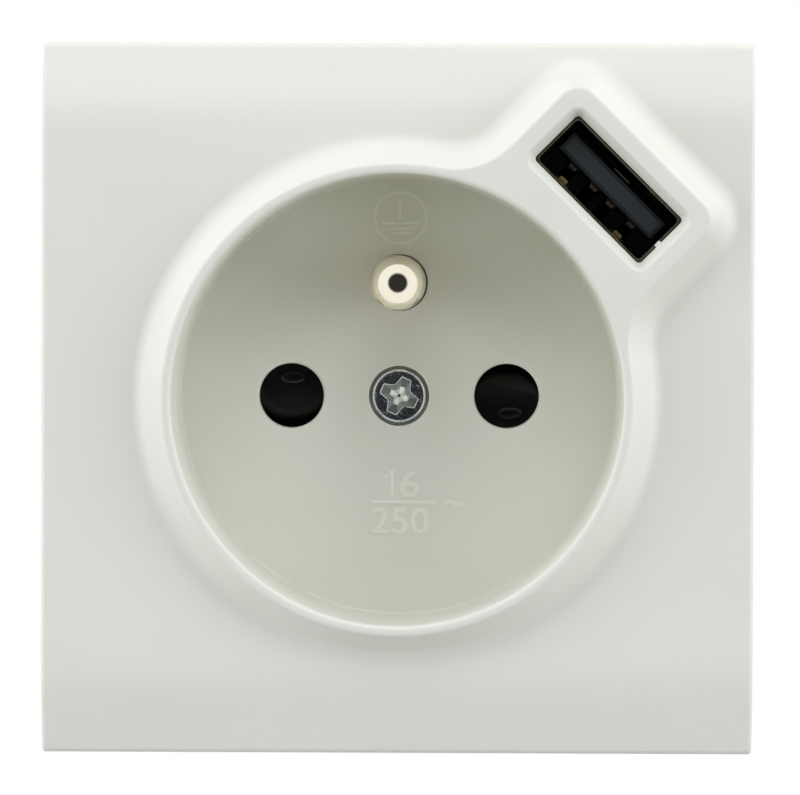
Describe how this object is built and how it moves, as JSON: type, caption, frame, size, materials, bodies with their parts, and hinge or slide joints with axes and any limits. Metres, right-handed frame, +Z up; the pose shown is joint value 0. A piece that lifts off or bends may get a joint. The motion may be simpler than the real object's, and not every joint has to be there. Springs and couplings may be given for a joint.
{
  "type": "usb wall socket",
  "caption": "Flush wall socket with a round well, earth pin, rotary safety shutter and a USB outlet on the collar.",
  "frame": {"origin": "axis of the round well in the plane of the wall, the back of the mounting strap", "axes": "+Z up, +X to the right seen from the room, +Y into the wall"},
  "size_m": [0.0614, 0.0411, 0.0614],
  "materials": {
    "white_cover": "satin moulded",
    "zinc_screw": "zinc plated",
    "strap_steel": "galvanised",
    "grey_body": "moulded polyamide",
    "black_shutter": "moulded, satin",
    "spring_steel": "bright strip",
    "nickel_pin": "nickel plated",
    "brass": "stamped",
    "steel_screw": "zinc plated",
    "board_laminate": "solder mask",
    "shell_steel": "tin plated",
    "dark_insulator": "moulded",
    "gold_contacts": "gold flash",
    "ferrite": "sintered",
    "winding_tape": "polyester tape",
    "can_aluminium": "sleeved can",
    "black_epoxy": "moulded package",
    "brown_lead": "extruded insulation",
    "blue_lead": "extruded insulation"
  },
  "bodies": {
    "socket": {"front_cover": "white_cover", "cover_screw": "zinc_screw", "mounting_strap": "strap_steel", "socket_base": "grey_body", "rear_housing": "grey_body", "shutter_spring": "spring_steel", "earth_pin": "nickel_pin", "earth_bridge": "brass", "live_contact": "brass", "neutral_contact": "brass", "live_terminal": "brass", "neutral_terminal": "brass", "earth_terminal": "brass", "live_terminal_screw": "steel_screw", "neutral_terminal_screw": "steel_screw", "earth_terminal_screw": "steel_screw", "usb_board": "board_laminate", "usb_shell": "shell_steel", "usb_insulator": "dark_insulator", "usb_contacts": "gold_contacts", "transformer_core": "ferrite", "transformer_winding": "winding_tape", "input_capacitor": "can_aluminium", "output_capacitor": "can_aluminium", "controller_chip": "black_epoxy", "rectifier": "black_epoxy", "fuse_resistor": "black_epoxy", "live_lead": "brown_lead", "neutral_lead": "blue_lead"},
    "shutter": {"shutter": "black_shutter"}
  },
  "joints": [
    {"name": "shutter_turn", "type": "hinge", "parent": "socket", "child": "shutter", "pos_m": [0, 0.0078, 0], "axis": [0, 1, 0], "range_deg": [0, 40], "stiffness_Nm_per_rad": 0.004, "springref_deg": -17.19, "deforming": ["shutter_spring"]}
  ]
}
